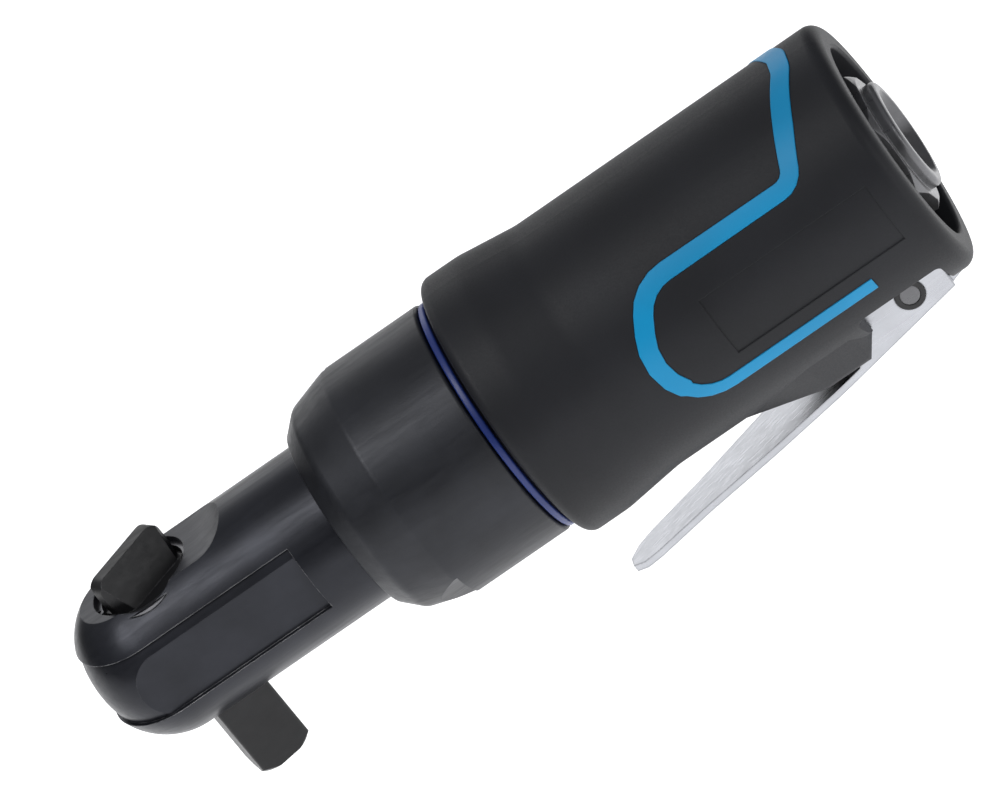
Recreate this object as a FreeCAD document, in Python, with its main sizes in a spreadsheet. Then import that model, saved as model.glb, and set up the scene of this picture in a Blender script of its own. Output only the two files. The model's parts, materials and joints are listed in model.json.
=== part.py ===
import FreeCAD, Part
import Sketcher
import math
import os

Vector = FreeCAD.Vector
Rotation = FreeCAD.Rotation

# A stubby 3/8 inch air ratchet. X runs along the tool from the drive axis to the air inlet, Z is up
# to the selector side, and the origin is the centre of the drive shoulder on the drive axis. Inside
# each piece, heights are measured from the tool's own axis, which lies axis_height above the origin.

DOC = FreeCAD.newDocument("AirRatchet")
SHEET = DOC.addObject("Spreadsheet::Sheet", "Dims")

DIMENSIONS = [
    ("axis_height", 12.6, "tool axis above the drive shoulder"),
    ("nose_x", -16.6, "tip of the nose"),
    ("neck_r", 14.0, "neck and head radius"),
    ("nose_round", 12.0, "rounding of the nose"),
    ("flange_x", 33.6, "front of the flange that the clamp nut holds"),
    ("flange_end_x", 37.2, "rear of the head"),
    ("flange_r", 16.3, "flange radius"),
    ("top_flat_z", 12.1, "flat round the selector"),
    ("bottom_flat_z", -12.45, "flat round the drive"),
    ("relief_y", 12.3, "half width between the side reliefs"),
    ("relief_depth", 0.45, "least depth of the side reliefs"),
    ("relief_low_z", -4.7, "lower edge of the side reliefs"),
    ("relief_height", 12.0, "height of the side reliefs"),
    ("relief_end_x", 23.0, "rear end of the side reliefs"),
    ("neck_bore_r", 10.0, "bore of the neck"),
    ("neck_bore_x", 11.0, "front end of the neck bore"),
    ("yoke_space", 9.15, "radius of the yoke's cavity"),
    ("yoke_space_z", 4.6, "half height of the yoke's cavity"),
    ("top_bore_r", 8.5, "bore under the selector"),
    ("journal_r", 6.5, "anvil journal"),
    ("run_gap", 0.05, "radial running clearance"),
    ("square_side", 9.53, "drive square across flats"),
    ("square_length", 13.9, "drive square length"),
    ("anvil_turn", 15.6, "anvil angle at rest"),
    ("selector_turn", 18.3, "selector angle from the anvil at rest"),
    ("pawl_tilt", -3.0, "pawl angle at rest"),
    ("pawl_pivot_x", 5.0, "pawl pin from the drive axis"),
    ("pawl_pin_r", 0.9, "pawl pin radius"),
    ("stem_r", 2.9, "selector stem radius"),
    ("selector_top_z", 17.2, "top of the selector bar"),
    ("selector_length", 14.6, "length of the selector bar"),
    ("yoke_r", 8.8, "yoke outer radius"),
    ("yoke_tip_r", 6.9, "yoke tooth tips"),
    ("yoke_root_r", 7.6, "yoke tooth roots"),
    ("yoke_half", 4.2, "yoke half height"),
    ("yoke_teeth", 36, "yoke teeth"),
    ("fork_x", 13.0, "end of the yoke's fork"),
    ("bush_r", 3.2, "drive bush outer radius"),
    ("crank_pin_r", 2.2, "crank pin radius"),
    ("crank_throw", 1.3, "crank eccentricity"),
    ("crank_r", 7.0, "crankshaft journal"),
    ("needle_r", 1.0, "needle roller radius"),
    ("module_size", 0.8, "gear module"),
    ("small_teeth", 12, "sun and planet teeth"),
    ("ring_teeth", 36, "ring gear teeth"),
    ("pressure_angle", 25.0, "gear pressure angle"),
    ("planet_pin_r", 1.9, "planet pin radius"),
    ("planet_x", 37.6, "front face of the planets"),
    ("planet_width", 7.8, "planet width"),
    ("ring_r", 16.4, "ring gear outer radius"),
    ("plate_x", 47.5, "front face of the front end plate"),
    ("cylinder_x", 56.3, "front face of the motor cylinder"),
    ("cylinder_length", 33.2, "motor cylinder length"),
    ("cylinder_r", 15.95, "motor cylinder outer radius"),
    ("cylinder_bore_r", 12.5, "motor cylinder bore"),
    ("rotor_r", 11.0, "rotor radius"),
    ("rotor_offset", 1.4, "cylinder bore above the rotor axis"),
    ("vane_count", 5, "vanes"),
    ("vane_thickness", 1.5, "vane thickness"),
    ("shaft_r", 4.0, "rotor shaft at the bearings"),
    ("bearing_r", 8.0, "ball bearing outer radius"),
    ("bearing_width", 4.5, "ball bearing width"),
    ("bearing_ball_r", 1.2, "ball radius of the bearings"),
    ("housing_bore_r", 16.05, "motor housing bore"),
    ("housing_floor_x", 96.5, "floor of the motor housing bore"),
    ("housing_end_x", 126.0, "rear end of the motor housing"),
    ("housing_rear_r", 17.0, "motor housing behind the motor"),
    ("nut_x", 30.9, "front of the clamp nut"),
    ("nut_end_x", 59.0, "rear of the clamp nut"),
    ("nut_r", 20.85, "clamp nut radius"),
    ("nut_flat", 19.5, "clamp nut flats from the axis"),
    ("nut_turn", -40.0, "angle of the clamp nut flats"),
    ("grip_x", 61.1, "front of the grip"),
    ("grip_end_x", 134.8, "rear of the grip"),
    ("grip_front_r", 23.5, "grip radius at the front"),
    ("grip_r", 22.3, "grip radius"),
    ("recess_r", 17.2, "rear recess of the grip"),
    ("guard_z", -24.7, "lowest line of the lever guards"),
    ("channel_y", 7.75, "half width of the lever channel"),
    ("rear_cut_z", -13.0, "flat cut above the lever pin"),
    ("lever_pin_x", 122.6, "lever pin along the tool"),
    ("lever_pin_z", -19.8, "lever pin height from the axis"),
    ("lever_pin_r", 1.6, "lever pin radius"),
    ("lever_sheet", 1.2, "lever sheet thickness"),
    ("lever_half", 7.2, "lever half width"),
    ("lever_tip_x", 61.6, "tip of the lever"),
    ("lever_tip_z", -35.9, "underside of the lever at its tip"),
    ("lever_end_x", 131.9, "rear end of the lever's tongue"),
    ("lever_end_z", -22.3, "underside of the lever at its rear end"),
    ("valve_pin_x", 107.0, "throttle pin along the tool"),
    ("valve_pin_r", 1.6, "throttle pin radius"),
    ("valve_seat_x", 115.5, "front face of the valve seat"),
    ("inlet_r", 5.72, "wall radius of the inlet thread"),
    ("inlet_end_x", 137.0, "rear end of the inlet bushing"),
    ("hex_flats", 22.0, "inlet hexagon across flats"),
]

for row, (alias, value, meaning) in enumerate(DIMENSIONS, start=1):
    SHEET.set("A%d" % row, meaning)
    SHEET.set("B%d" % row, str(value))
    SHEET.setAlias("B%d" % row, alias)
DOC.recompute()


class Size:
    """A length of the sheet, or an arithmetic of such lengths, as an expression and as a number."""

    def __init__(self, text, number):
        self.text = text
        self.number = number

    def joined(self, sign, other, result):
        right = other.text if isinstance(other, Size) else repr(float(other))
        return Size("(%s %s %s)" % (self.text, sign, right), result)

    def __add__(self, other):
        return self.joined("+", other, self.number + num(other))

    def __sub__(self, other):
        return self.joined("-", other, self.number - num(other))

    def __mul__(self, other):
        return self.joined("*", other, self.number * num(other))

    def __neg__(self):
        return Size("(0 - %s)" % self.text, -self.number)


class Sheet:
    """Gives each alias of the sheet as a Size."""

    def __getattr__(self, name):
        return Size("Dims." + name, float(SHEET.get(name)))


def num(size):
    return size.number if isinstance(size, Size) else float(size)


def bind(item, prop, size):
    if isinstance(size, Size):
        item.setExpression(prop, size.text)


d = Sheet()
PIECES = []


# ---------------------------------------------------------------- bodies, sketches and features

def place(item, x=0.0, y=0.0, z=0.0, rotation=None):
    """Puts a piece at x, y and a height z from the tool's axis."""
    height = d.axis_height + z
    base = Vector(num(x), num(y), num(height))
    item.Placement = FreeCAD.Placement(base, rotation or Rotation())
    bind(item, "Placement.Base.x", x)
    bind(item, "Placement.Base.y", y)
    bind(item, "Placement.Base.z", height)


def new_body(label, rotation=None, x=0.0, y=0.0, kept=True):
    body = DOC.addObject("PartDesign::Body", label)
    body.Label = label
    place(body, x, y, 0.0, rotation)
    if kept:
        PIECES.append(body)
    return body


def new_sketch(body, role, offset=0.0):
    """A sketch on one of the body's origin planes, moved along the plane's normal by offset."""
    sketch = body.newObject("Sketcher::SketchObject", body.Name + "_sketch")
    plane = [item for item in body.Origin.OriginFeatures if item.Role == role][0]
    sketch.AttachmentSupport = [(plane, "")]
    sketch.MapMode = "FlatFace"
    sketch.AttachmentOffset = FreeCAD.Placement(Vector(0, 0, num(offset)), Rotation())
    bind(sketch, "AttachmentOffset.Base.z", offset)
    return sketch


def constrain(sketch, kind, *values):
    """Adds a constraint whose last value may be a Size."""
    last = values[-1]
    numbers = values[:-1] + (num(last),)
    index = sketch.addConstraint(Sketcher.Constraint(kind, *numbers))
    bind(sketch, "Constraints[%d]" % index, last)


def fix_point(sketch, geometry, position, across, up):
    """Fixes a point of the sketch at across, up from the sketch's origin."""
    for value, kind, axis in ((across, "DistanceX", -2), (up, "DistanceY", -1)):
        if num(value) == 0.0:
            sketch.addConstraint(Sketcher.Constraint("PointOnObject", geometry, position, axis))
        else:
            constrain(sketch, kind, -1, 1, geometry, position, value)


def outline(sketch, corners):
    """A closed line through the corners; a third value of a corner rounds it with that radius."""
    count = len(corners)
    spots = [Vector(num(corner[0]), num(corner[1]), 0) for corner in corners]
    arrivals = list(spots)
    departures = list(spots)
    arcs = {}
    for i, corner in enumerate(corners):
        if len(corner) == 3:
            back = (spots[i - 1] - spots[i]).normalize()
            ahead = (spots[(i + 1) % count] - spots[i]).normalize()
            half = back.getAngle(ahead) / 2
            reach = num(corner[2]) / math.tan(half)
            depth = num(corner[2]) / math.sin(half) - num(corner[2])
            arrivals[i] = spots[i] + back * reach
            departures[i] = spots[i] + ahead * reach
            middle = spots[i] + (back + ahead).normalize() * depth
            arcs[i] = sketch.addGeometry(Part.Arc(arrivals[i], middle, departures[i]))
    lines = []
    for i in range(count):
        run = Part.LineSegment(departures[i], arrivals[(i + 1) % count])
        lines.append(sketch.addGeometry(run))
    for i, corner in enumerate(corners):
        before = lines[i - 1]
        after = lines[i]
        if i not in arcs:
            sketch.addConstraint(Sketcher.Constraint("Coincident", before, 2, after, 1))
            fix_point(sketch, after, 1, corner[0], corner[1])
            continue
        arc = arcs[i]
        first = 1 if (sketch.getPoint(arc, 1) - arrivals[i]).Length < 1e-6 else 2
        mark = sketch.addGeometry(Part.Point(spots[i]), True)
        sketch.addConstraint(Sketcher.Constraint("PointOnObject", mark, 1, before))
        sketch.addConstraint(Sketcher.Constraint("PointOnObject", mark, 1, after))
        fix_point(sketch, mark, 1, corner[0], corner[1])
        sketch.addConstraint(Sketcher.Constraint("Tangent", before, 2, arc, first))
        sketch.addConstraint(Sketcher.Constraint("Tangent", arc, 3 - first, after, 1))
        constrain(sketch, "Radius", arc, corner[2])
    return sketch


def circle(sketch, across, up, radius):
    ring = Part.Circle(Vector(num(across), num(up), 0), Vector(0, 0, 1), num(radius))
    index = sketch.addGeometry(ring)
    fix_point(sketch, index, 3, across, up)
    constrain(sketch, "Radius", index, radius)
    return sketch


def rectangle(sketch, low_across, low_up, high_across, high_up):
    return outline(sketch, [(low_across, low_up), (high_across, low_up),
                            (high_across, high_up), (low_across, high_up)])


def revolve(body, sketch, axis="H_Axis", cut=False):
    kind = "PartDesign::Groove" if cut else "PartDesign::Revolution"
    feature = body.newObject(kind, body.Name + "_turned")
    feature.Profile = sketch
    feature.ReferenceAxis = (sketch, [axis])
    feature.Angle = 360.0
    return feature


def extrude(body, sketch, length, cut=False, symmetric=False, reverse=False):
    kind = "PartDesign::Pocket" if cut else "PartDesign::Pad"
    feature = body.newObject(kind, body.Name + "_extruded")
    feature.Profile = sketch
    feature.Length = num(length)
    bind(feature, "Length", length)
    feature.Reversed = reverse
    if symmetric:
        feature.SideType = "Symmetric"
    return feature


def pattern(body, feature, sketch, axis, count):
    """Repeats a feature round an axis of its sketch."""
    repeated = body.newObject("PartDesign::PolarPattern", body.Name + "_pattern")
    repeated.Originals = [feature]
    repeated.Axis = (sketch, [axis])
    repeated.Angle = 360.0
    repeated.Occurrences = int(num(count))
    bind(repeated, "Occurrences", count)
    body.Tip = repeated
    return repeated


def turned(label, corners, rotation=None, axis="H_Axis"):
    """A body of revolution about the tool's axis, or about the vertical with V_Axis."""
    body = new_body(label, rotation)
    revolve(body, outline(new_sketch(body, "XZ_Plane"), corners), axis)
    return body


def turned_ring(label, low_x, high_x, inner, outer):
    return turned(label, [(low_x, inner), (high_x, inner), (high_x, outer), (low_x, outer)])


def about_z(degrees):
    return Rotation(Vector(0, 0, 1), num(degrees))


def loose(label, shape, rotation=None):
    """A piece whose shape is made directly, or a group of equal pieces.

    The compound keeps the shape's own place, which the piece's Placement would replace."""
    item = DOC.addObject("Part::Feature", label)
    item.Label = label
    item.Shape = Part.makeCompound([shape])
    place(item, 0.0, 0.0, 0.0, rotation)
    PIECES.append(item)
    return item


# ---------------------------------------------------------------- ratchet head

def head_profile(inset):
    """The outline of the head from the tool's axis, set in by inset all round the nose and neck."""
    return [(d.nose_x + inset, 0), (d.nose_x + inset, d.neck_r - inset, d.nose_round),
            (d.flange_x, d.neck_r - inset)]


def relief():
    """What the side reliefs take off: a slab that leaves a flat-sided core of the head."""
    core = new_body("relief_core", kept=False)
    revolve(core, outline(new_sketch(core, "XZ_Plane"), head_profile(d.relief_depth) + [(d.flange_x, 0)]))
    for side in (-1, 1):
        edge = rectangle(new_sketch(core, "XY_Plane"), d.nose_x - 1, d.relief_y * side, d.flange_x + 1,
                         (d.neck_r + 1) * side)
        extrude(core, edge, d.neck_r * 2 + 4, cut=True, symmetric=True)
    slab = new_body("relief_slab", kept=False)
    reach = d.neck_r + 4
    block = rectangle(new_sketch(slab, "XY_Plane", d.relief_low_z),
                      d.nose_x - 4, -reach, d.relief_end_x, reach)
    extrude(slab, block, d.relief_height)
    cut = DOC.addObject("Part::Cut", "relief")
    cut.Base = slab
    cut.Tool = core
    return cut


def ratchet_head():
    body = new_body("head_body", kept=False)
    revolve(body, outline(new_sketch(body, "XZ_Plane"), head_profile(0.0) + [
        (d.flange_x, d.flange_r, 0.4), (d.flange_end_x, d.flange_r, 0.4), (d.flange_end_x, 0)]))
    outside = d.neck_r + 6
    ahead = d.nose_x - 4

    # top flat with its run-out scoop, and the shallow flat under the drive
    top = outline(new_sketch(body, "XZ_Plane"), [
        (ahead, d.top_flat_z), (13.1, d.top_flat_z, 12.9), (22.0, d.top_flat_z + 5.14),
        (22.0, outside), (ahead, outside)])
    extrude(body, top, outside * 2, cut=True, symmetric=True)
    bottom = outline(new_sketch(body, "XZ_Plane"), [
        (ahead, d.bottom_flat_z), (11.0, d.bottom_flat_z, 14.0), (20.0, d.bottom_flat_z - 3.0),
        (20.0, -outside), (ahead, -outside)])
    extrude(body, bottom, outside * 2, cut=True, symmetric=True)

    # neck bore with the room for the planet carrier
    bore = outline(new_sketch(body, "XZ_Plane"), [
        (d.neck_bore_x, 0), (d.neck_bore_x, d.neck_bore_r), (d.flange_x + 0.5, d.neck_bore_r),
        (d.flange_x + 0.5, 13.8), (d.flange_end_x, 13.8), (d.flange_end_x, 0)])
    revolve(body, bore, cut=True)

    # yoke cavity, open to the neck bore
    space = outline(new_sketch(body, "XY_Plane"), [
        (-d.yoke_space, -d.yoke_space, d.yoke_space - 0.05), (d.neck_bore_x + 1, -d.yoke_space),
        (d.neck_bore_x + 1, d.yoke_space), (-d.yoke_space, d.yoke_space, d.yoke_space - 0.05)])
    extrude(body, space, d.yoke_space_z * 2, cut=True, symmetric=True)

    # bores for the anvil and the groove for its snap ring
    upper = circle(new_sketch(body, "XY_Plane", 4.0), 0, 0, d.top_bore_r)
    extrude(body, upper, outside, cut=True, reverse=True)
    lower = circle(new_sketch(body, "XY_Plane", -4.0), 0, 0, d.journal_r + d.run_gap)
    extrude(body, lower, outside, cut=True)
    groove = rectangle(new_sketch(body, "XZ_Plane"), d.top_bore_r - 0.4, 10.1, d.top_bore_r + 0.7, 11.1)
    revolve(body, groove, "V_Axis", cut=True)
    cut = DOC.addObject("Part::Cut", "ratchet_head")
    cut.Label = "ratchet_head"
    cut.Base = body
    cut.Tool = relief()
    PIECES.append(cut)


# ---------------------------------------------------------------- anvil, selector and pawl

def anvil():
    turn = about_z(d.anvil_turn)
    shoulder = -d.axis_height
    body = turned("anvil", [
        (0, shoulder), (d.journal_r, shoulder, 0.3), (d.journal_r, 4.75), (d.top_bore_r - 0.08, 4.75),
        (d.top_bore_r - 0.08, 9.95), (7.3, 9.95), (7.3, 7.5), (0, 7.5)], turn, "V_Axis")

    half = d.square_side * 0.5
    square = outline(new_sketch(body, "XY_Plane", shoulder), [
        (-half, -half, 0.7), (half, -half, 0.7), (half, half, 0.7), (-half, half, 0.7)])
    extrude(body, square, d.square_length, reverse=True)
    tip = shoulder - d.square_length
    chamfer = outline(new_sketch(body, "XZ_Plane"), [
        (half + 0.15, tip - 0.2), (half + 2.3, tip + 1.75), (half + 2.3, tip - 0.2)])
    revolve(body, chamfer, "V_Axis", cut=True)

    stem_bore = circle(new_sketch(body, "XY_Plane", 7.5), 0, 0, d.stem_r + d.run_gap)
    extrude(body, stem_bore, 10.9, cut=True)
    pocket = rectangle(new_sketch(body, "XY_Plane"), 3.3, -d.journal_r - 1, d.journal_r + 1, d.journal_r + 1)
    extrude(body, pocket, 8.2, cut=True, symmetric=True)
    window = rectangle(new_sketch(body, "XY_Plane"), 0.5, -2.4, 4.0, 2.4)
    extrude(body, window, 2.6, cut=True, symmetric=True)
    pin_hole = circle(new_sketch(body, "XY_Plane", -5.7), d.pawl_pivot_x, 0, d.pawl_pin_r + 0.02)
    extrude(body, pin_hole, 10.4, cut=True, reverse=True)
    detent = circle(new_sketch(body, "XY_Plane", 7.6), -5.4, 0, 0.85)
    extrude(body, detent, 2.4, cut=True)
    ball_hole = circle(new_sketch(body, "XZ_Plane", -0.6), 0, RETENTION_Z, 1.6)
    extrude(body, ball_hole, 6.0, cut=True)


RETENTION_Z = -19.8


def along_x(radius, start, end, z=0.0):
    """A round bar along X between two stations."""
    return Part.makeCylinder(radius, end - start, Vector(start, 0, z), Vector(1, 0, 0))


def facet(*spots):
    return Part.Face(Part.makePolygon(list(spots) + [spots[0]]))


def helix(radius, wire, length, turns, z=0.0):
    """A compression spring of small flat facets that stands on z and is length high."""
    steps = int(turns * 12)
    sides = 6
    rings = []
    for step in range(steps + 1):
        share = step / steps
        angle = 2 * math.pi * turns * share
        outward = Vector(math.cos(angle), math.sin(angle), 0)
        centre = outward * (radius - wire / 2) + Vector(0, 0, z + wire / 2 + (length - wire) * share)
        ring = []
        for side in range(sides):
            turn = 2 * math.pi * side / sides
            lift = Vector(0, 0, wire / 2 * math.sin(turn))
            ring.append(centre + outward * (wire / 2 * math.cos(turn)) + lift)
        rings.append(ring)
    faces = [facet(*rings[0]), facet(*reversed(rings[-1]))]
    for low, high in zip(rings, rings[1:]):
        for side in range(sides):
            after = (side + 1) % sides
            faces.append(facet(low[side], high[side], high[after]))
            faces.append(facet(low[side], high[after], low[after]))
    spring = Part.makeSolid(Part.makeShell(faces))
    if spring.Volume < 0:
        spring.reverse()
    return spring


def laid(shape, x):
    """Turns an upright shape to lie along X from the station x."""
    copy = shape.copy()
    copy.rotate(Vector(0, 0, 0), Vector(0, 1, 0), 90.0)
    copy.translate(Vector(x, 0, 0))
    return copy


def anvil_details():
    turn = about_z(d.anvil_turn)
    pin = DOC.addObject("Part::Cylinder", "pawl_pin")
    pin.Label = "pawl_pin"
    bind(pin, "Radius", d.pawl_pin_r)
    pin.Height = 10.2
    angle = math.radians(num(d.anvil_turn))
    reach = num(d.pawl_pivot_x)
    place(pin, reach * math.cos(angle), reach * math.sin(angle), -5.65)
    PIECES.append(pin)

    ball = Part.makeSphere(1.55, Vector(0, 3.95, RETENTION_Z))
    loose("drive_ball", ball, turn)
    push = laid(helix(1.4, 0.3, 1.05, 2.0), 0.65)
    push.rotate(Vector(0, 0, 0), Vector(0, 0, 1), 90.0)
    push.translate(Vector(0, 0, RETENTION_Z))
    loose("drive_ball_spring", push, turn)
    loose("selector_ball", Part.makeSphere(0.8, Vector(-5.4, 0, 7.05)), turn)
    small = helix(0.75, 0.2, 0.95, 2.5, 5.25)
    small.translate(Vector(-5.4, 0, 0))
    loose("selector_spring", small, turn)

    turned("thrust_washer", [(6.65, 4.28), (8.35, 4.28), (8.35, 4.68), (6.65, 4.68)], None, "V_Axis")

    ring = new_body("snap_ring", about_z(205.0))
    band = rectangle(new_sketch(ring, "XZ_Plane"), 7.65, 10.15, 9.1, 11.05)
    revolve(ring, band, "V_Axis")
    ears = circle(new_sketch(ring, "XY_Plane", 10.15), 7.8, 2.85, 0.6)
    circle(ears, 7.8, -2.85, 0.6)
    extrude(ring, ears, 0.9)
    gap = rectangle(new_sketch(ring, "XY_Plane", 10.0), 6.0, -1.9, 10.0, 1.9)
    extrude(ring, gap, 1.3, cut=True, reverse=True)
    holes = circle(new_sketch(ring, "XY_Plane", 10.0), 7.8, 2.85, 0.3)
    circle(holes, 7.8, -2.85, 0.3)
    extrude(ring, holes, 1.3, cut=True, reverse=True)


def selector_turned():
    return about_z(d.anvil_turn + d.selector_turn)


def selector():
    body = turned("selector_lever", [
        (0, -3.2), (d.stem_r, -3.2, 0.4), (d.stem_r, 7.65), (7.15, 7.65), (7.15, 10.4, 0.4), (0, 10.4)],
        selector_turned(), "V_Axis")
    half = d.selector_length * 0.5
    top = d.selector_top_z
    bar = outline(new_sketch(body, "XZ_Plane"), [
        (-half + 0.6, 10.0), (half - 0.6, 10.0), (half, 13.0, 3.0), (half, top, 2.2),
        (-half, top, 2.2), (-half, 13.0, 3.0)])
    extrude(body, bar, 7.0, symmetric=True)
    # the bar's sides lean in to a narrow top
    for side in (-1, 1):
        lean = outline(new_sketch(body, "YZ_Plane"), [
            (side * 3.3, 10.4), (side * 1.3, top), (side * 1.3, top + 1), (side * 5.0, top + 1),
            (side * 5.0, 10.4)])
        extrude(body, lean, 20.0, cut=True, symmetric=True)
    # slanted corners in its plan
    for end in (-1, 1):
        for side in (-1, 1):
            corner = outline(new_sketch(body, "XY_Plane", 10.45), [
                (half * end + end * 0.3, side * 0.6), (half * end - end * 2.6, side * 4.0),
                (half * end + end * 0.3, side * 4.0)])
            extrude(body, corner, 9.0, cut=True, reverse=True)
    track = rectangle(new_sketch(body, "XZ_Plane"), 4.5, 7.5, 6.3, 8.0)
    revolve(body, track, "V_Axis", cut=True)
    cross = circle(new_sketch(body, "YZ_Plane", -2.0), 0, 0, 1.1)
    extrude(body, cross, 6.0, cut=True, reverse=True)

    plunger = new_body("pawl_plunger", selector_turned())
    nose = outline(new_sketch(plunger, "XZ_Plane"), [(0.6, 0), (3.7, 0), (3.7, 1.05, 0.6), (0.6, 1.05)])
    revolve(plunger, nose)
    loose("pawl_spring", laid(helix(0.95, 0.25, 2.1, 4.0), -1.85), selector_turned())


def pawl():
    angle = math.radians(num(d.anvil_turn))
    reach = num(d.pawl_pivot_x)
    body = new_body("pawl", about_z(d.anvil_turn + d.pawl_tilt),
                    reach * math.cos(angle), reach * math.sin(angle))
    blank = circle(new_sketch(body, "XY_Plane"), -d.pawl_pivot_x, 0, d.journal_r)
    extrude(body, blank, 7.8, symmetric=True)
    back = rectangle(new_sketch(body, "XY_Plane"), -15.0, -8.0, -1.25, 8.0)
    extrude(body, back, 9.0, cut=True, symmetric=True)
    for side in (-1, 1):
        end = rectangle(new_sketch(body, "XY_Plane"), -3.0, side * 4.7, 3.0, side * 8.0)
        extrude(body, end, 9.0, cut=True, symmetric=True)
        # serrations that bite into the yoke
        for notch in (3.3, 4.15):
            tooth = outline(new_sketch(body, "XY_Plane"), [
                (2.6, side * (notch + 0.1)), (-0.05 - 0.35 * (notch - 3.3), side * notch),
                (2.6, side * (notch - 0.75))])
            extrude(body, tooth, 9.0, cut=True, symmetric=True)
    hole = circle(new_sketch(body, "XY_Plane"), 0, 0, d.pawl_pin_r + 0.04)
    extrude(body, hole, 9.0, cut=True, symmetric=True)


# ---------------------------------------------------------------- yoke and crankshaft

def yoke():
    body = new_body("yoke")
    ring = circle(new_sketch(body, "XY_Plane"), 0, 0, d.yoke_r)
    extrude(body, ring, d.yoke_half * 2, symmetric=True)
    fork = rectangle(new_sketch(body, "XY_Plane"), 7.0, -5.5, d.fork_x, 5.5)
    extrude(body, fork, d.yoke_half * 2 - 0.4, symmetric=True)
    hole = circle(new_sketch(body, "XY_Plane"), 0, 0, d.yoke_tip_r)
    extrude(body, hole, d.yoke_half * 3, cut=True, symmetric=True)
    slot = rectangle(new_sketch(body, "XY_Plane"), 9.4, -d.bush_r - 0.04, d.fork_x + 1, d.bush_r + 0.04)
    extrude(body, slot, d.yoke_half * 3, cut=True, symmetric=True)
    sketch = new_sketch(body, "XY_Plane")
    outline(sketch, [(d.yoke_tip_r - 0.3, -0.55), (d.yoke_root_r, -0.12), (d.yoke_root_r, 0.12),
                     (d.yoke_tip_r - 0.3, 0.55)])
    tooth_gap = extrude(body, sketch, d.yoke_half * 3, cut=True, symmetric=True)
    pattern(body, tooth_gap, sketch, "N_Axis", d.yoke_teeth)

    bush = new_body("drive_bush")
    ring = circle(new_sketch(bush, "YZ_Plane", 9.6), 0, d.crank_throw, d.bush_r)
    circle(ring, 0, d.crank_throw, d.crank_pin_r + d.run_gap)
    extrude(bush, ring, 3.3)


def crankshaft():
    carrier_x = d.flange_x + 0.8
    body = turned("crankshaft", [
        (17.3, 0), (17.3, d.crank_r, 0.5), (carrier_x - 2.2, d.crank_r), (carrier_x - 2.2, 9.0, 0.4),
        (carrier_x, 9.0), (carrier_x, 13.4, 0.5), (d.flange_end_x - 0.2, 13.4, 0.5),
        (d.flange_end_x - 0.2, 0)])
    pin = circle(new_sketch(body, "YZ_Plane", d.fork_x + 0.7), 0, d.crank_throw, d.crank_pin_r)
    extrude(body, pin, 4.0)
    sketch = new_sketch(body, "YZ_Plane", carrier_x - 0.5)
    circle(sketch, 0, planet_circle(), d.planet_pin_r + 0.01)
    hole = extrude(body, sketch, 6.0, cut=True, reverse=True)
    pattern(body, hole, sketch, "N_Axis", 3)


def planet_circle():
    return d.module_size * d.small_teeth


def neck_bearing():
    cup = 19.0
    end = 29.6
    turned("neck_bearing_cup", [
        (cup, 9.95), (cup, 7.3), (cup + 0.6, 7.3), (cup + 0.6, 9.12), (end - 0.6, 9.12),
        (end - 0.6, 7.3), (end, 7.3), (end, 9.95)])
    track = num(d.crank_r + d.needle_r + d.run_gap)
    rollers = []
    for index in range(20):
        roller = along_x(num(d.needle_r), cup + 0.9, end - 0.9)
        roller.translate(Vector(0, 0, track))
        roller.rotate(Vector(0, 0, 0), Vector(1, 0, 0), index * 18.0)
        rollers.append(roller)
    loose("neck_bearing_rollers", Part.makeCompound(rollers))


# ---------------------------------------------------------------- gears

BACKLASH = 0.06


def gear_wire(teeth, tip, root, thicker):
    """An involute gear outline in the YZ plane with a tooth on +Z; thicker widens each tooth."""
    pitch = num(d.module_size) * teeth / 2
    slope = math.radians(num(d.pressure_angle))
    base = pitch * math.cos(slope)
    half_pitch = math.pi / (2 * teeth) + thicker / (2 * pitch) + math.tan(slope) - slope

    def flank(radius, side):
        turn = math.acos(min(1.0, base / radius))
        half = half_pitch - (math.tan(turn) - turn)
        return half * side

    def spot(radius, angle):
        return Vector(0, radius * math.sin(angle), radius * math.cos(angle))

    start = max(root, base)
    radii = [start + (tip - start) * share for share in (0.0, 0.33, 0.66, 1.0)]
    edges = []
    for tooth in range(teeth):
        middle = 2 * math.pi * tooth / teeth
        rising = [spot(radius, middle + flank(radius, -1)) for radius in radii]
        falling = [spot(radius, middle + flank(radius, 1)) for radius in reversed(radii)]
        next_start = 2 * math.pi * (tooth + 1) / teeth + flank(start, -1)
        if root < start - 1e-6:
            edges.append(Part.LineSegment(spot(root, middle + flank(start, -1)), rising[0]).toShape())
        curve = Part.BSplineCurve()
        curve.interpolate(rising)
        edges.append(curve.toShape())
        edges.append(Part.Arc(rising[-1], spot(tip, middle), falling[0]).toShape())
        curve = Part.BSplineCurve()
        curve.interpolate(falling)
        edges.append(curve.toShape())
        here = middle + flank(start, 1)
        if root < start - 1e-6:
            edges.append(Part.LineSegment(falling[-1], spot(root, here)).toShape())
        edges.append(Part.Arc(spot(root, here), spot(root, (here + next_start) / 2),
                              spot(root, next_start)).toShape())
    return Part.Wire(Part.__sortEdges__(edges))


def gear(teeth, start, width, bore, phase):
    pitch = num(d.module_size) * teeth / 2
    module = num(d.module_size)
    wire = gear_wire(teeth, pitch + 0.8 * module, pitch - 1.05 * module, -BACKLASH)
    solid = Part.Face(wire).extrude(Vector(width, 0, 0))
    solid.translate(Vector(start, 0, 0))
    solid.rotate(Vector(0, 0, 0), Vector(1, 0, 0), phase)
    return solid.cut(along_x(bore, start - 1, start + width + 1))


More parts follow.
